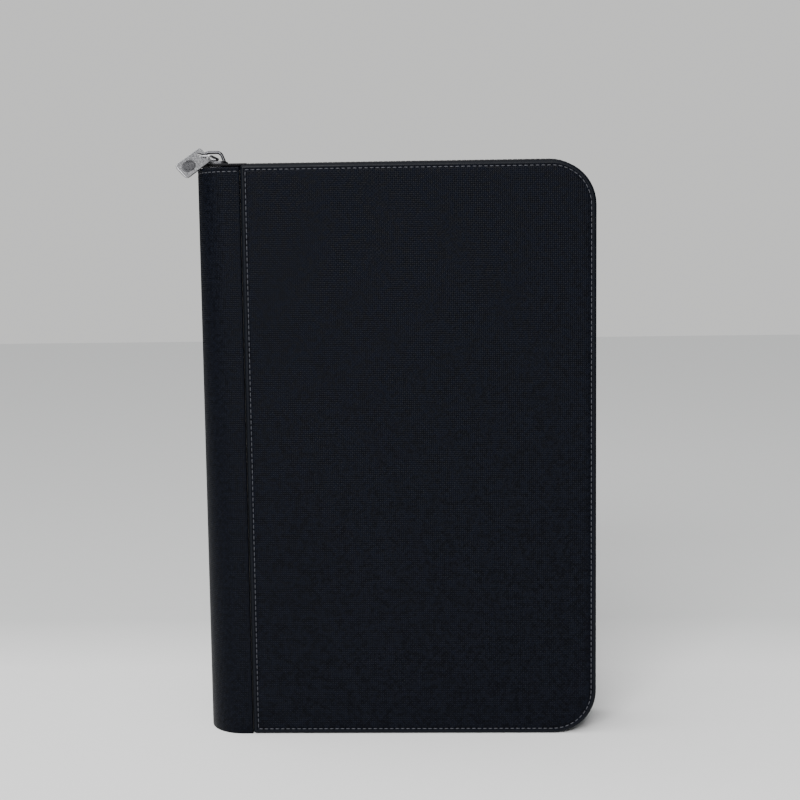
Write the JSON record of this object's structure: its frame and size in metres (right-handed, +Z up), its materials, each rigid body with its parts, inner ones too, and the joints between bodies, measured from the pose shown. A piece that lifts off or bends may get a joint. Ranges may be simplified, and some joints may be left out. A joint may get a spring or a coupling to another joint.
{
  "type": "zip-around trading card binder",
  "caption": "Tall zip-around card binder with padded synthetic leather covers, a rounded spine, clear pocket leaves and a slider with a metal pull.",
  "frame": {"origin": "centre of the bounding box's bottom face, on the surface that the closed binder stands on", "axes": "+Z up along the spine, front cover facing -Y, spine at -X, fore-edge at +X"},
  "size_m": [0.244, 0.046, 0.3508],
  "materials": {
    "pu_leather": "semi-matte synthetic leather with a fine woven emboss",
    "spine_leather": "semi-matte synthetic leather with a fine woven emboss, wrapped round the spine",
    "foam": "thin closed-cell foam",
    "greyboard": "dense grey board",
    "lining": "smooth black lining",
    "zip_tape": "woven polyester zip tape",
    "zip_coil": "black nylon coil",
    "slider_metal": "dark gunmetal lacquer",
    "pull_metal": "satin zinc",
    "stop_metal": "black lacquer",
    "bar_plastic": "black moulded plastic",
    "rivet_metal": "nickel",
    "leaf_sheet": "black textured polypropylene",
    "pocket_film": "clear soft film"
  },
  "bodies": {
    "back_cover": {"back_skin": "pu_leather", "back_padding": "foam", "back_board": "greyboard", "back_lining": "lining", "back_zip_tape": "zip_tape", "back_zip_coil": "zip_coil"},
    "spine": {"spine_skin": "spine_leather", "spine_board": "greyboard", "spine_lining": "lining", "binding_bar": "bar_plastic", "binding_rivets": "rivet_metal", "zip_end_tab": "zip_tape", "zip_top_stops": "stop_metal", "zip_bottom_stop": "stop_metal", "slider_body": "slider_metal", "slider_bail": "slider_metal"},
    "front_cover": {"front_skin": "pu_leather", "front_padding": "foam", "front_board": "greyboard", "front_lining": "lining", "front_zip_tape": "zip_tape", "front_zip_coil": "zip_coil"},
    "pull_link": {"pull_link": "pull_metal"},
    "pull_tab": {"pull_tab": "pull_metal"},
    "leaf_1": {"leaf_1_sheet": "leaf_sheet", "leaf_1_front_pockets": "pocket_film", "leaf_1_back_pockets": "pocket_film"},
    "leaf_2": {"leaf_2_sheet": "leaf_sheet", "leaf_2_front_pockets": "pocket_film", "leaf_2_back_pockets": "pocket_film"},
    "leaf_3": {"leaf_3_sheet": "leaf_sheet", "leaf_3_front_pockets": "pocket_film", "leaf_3_back_pockets": "pocket_film"},
    "leaf_4": {"leaf_4_sheet": "leaf_sheet", "leaf_4_front_pockets": "pocket_film", "leaf_4_back_pockets": "pocket_film"},
    "leaf_5": {"leaf_5_sheet": "leaf_sheet", "leaf_5_front_pockets": "pocket_film", "leaf_5_back_pockets": "pocket_film"},
    "leaf_6": {"leaf_6_sheet": "leaf_sheet", "leaf_6_front_pockets": "pocket_film", "leaf_6_back_pockets": "pocket_film"},
    "leaf_7": {"leaf_7_sheet": "leaf_sheet", "leaf_7_front_pockets": "pocket_film", "leaf_7_back_pockets": "pocket_film"},
    "leaf_8": {"leaf_8_sheet": "leaf_sheet", "leaf_8_front_pockets": "pocket_film", "leaf_8_back_pockets": "pocket_film"}
  },
  "joints": [
    {"name": "spine_hinge", "type": "hinge", "parent": "back_cover", "child": "spine", "pos_m": [-0.08446, 0.023, 0.17], "axis": [0, 0, -1], "range_deg": [0, 90]},
    {"name": "front_cover_hinge", "type": "hinge", "parent": "spine", "child": "front_cover", "pos_m": [-0.08446, -0.023, 0.17], "axis": [0, 0, -1], "range_deg": [0, 90]},
    {"name": "leaf_1_hinge", "type": "hinge", "parent": "spine", "child": "leaf_1", "pos_m": [-0.07846, -0.0147, 0.17], "axis": [0, 0, -1], "range_deg": [0, 75.61]},
    {"name": "leaf_2_hinge", "type": "hinge", "parent": "spine", "child": "leaf_2", "pos_m": [-0.07846, -0.0105, 0.17], "axis": [0, 0, -1], "range_deg": [0, 54.01]},
    {"name": "leaf_3_hinge", "type": "hinge", "parent": "spine", "child": "leaf_3", "pos_m": [-0.07846, -0.0063, 0.17], "axis": [0, 0, -1], "range_deg": [0, 32.41]},
    {"name": "leaf_4_hinge", "type": "hinge", "parent": "spine", "child": "leaf_4", "pos_m": [-0.07846, -0.0021, 0.17], "axis": [0, 0, -1], "range_deg": [0, 10.81]},
    {"name": "leaf_5_hinge", "type": "hinge", "parent": "spine", "child": "leaf_5", "pos_m": [-0.07846, 0.0021, 0.17], "axis": [0, 0, -1], "range_deg": [-10.81, 0]},
    {"name": "leaf_6_hinge", "type": "hinge", "parent": "spine", "child": "leaf_6", "pos_m": [-0.07846, 0.0063, 0.17], "axis": [0, 0, -1], "range_deg": [-32.41, 0]},
    {"name": "leaf_7_hinge", "type": "hinge", "parent": "spine", "child": "leaf_7", "pos_m": [-0.07846, 0.0105, 0.17], "axis": [0, 0, -1], "range_deg": [-54.01, 0]},
    {"name": "leaf_8_hinge", "type": "hinge", "parent": "spine", "child": "leaf_8", "pos_m": [-0.07846, 0.0147, 0.17], "axis": [0, 0, -1], "range_deg": [-75.61, 0]},
    {"name": "pull_link_hinge", "type": "hinge", "parent": "spine", "child": "pull_link", "pos_m": [-0.10506, 0.001, 0.34495], "axis": [-0.9766, 0.2152, 0], "range_deg": [0, 45]},
    {"name": "pull_tab_hinge", "type": "hinge", "parent": "pull_link", "child": "pull_tab", "pos_m": [-0.10766, -0.0108, 0.3461], "axis": [-0.9766, 0.2152, 0], "range_deg": [0, 60]}
  ],
  "couplings": [
    {"joint": "front_cover_hinge", "follows": "spine_hinge", "ratio": 1},
    {"joint": "leaf_1_hinge", "follows": "spine_hinge", "ratio": 0.84},
    {"joint": "leaf_2_hinge", "follows": "spine_hinge", "ratio": 0.6},
    {"joint": "leaf_3_hinge", "follows": "spine_hinge", "ratio": 0.36},
    {"joint": "leaf_4_hinge", "follows": "spine_hinge", "ratio": 0.12},
    {"joint": "leaf_5_hinge", "follows": "spine_hinge", "ratio": -0.12},
    {"joint": "leaf_6_hinge", "follows": "spine_hinge", "ratio": -0.36},
    {"joint": "leaf_7_hinge", "follows": "spine_hinge", "ratio": -0.6},
    {"joint": "leaf_8_hinge", "follows": "spine_hinge", "ratio": -0.84}
  ]
}
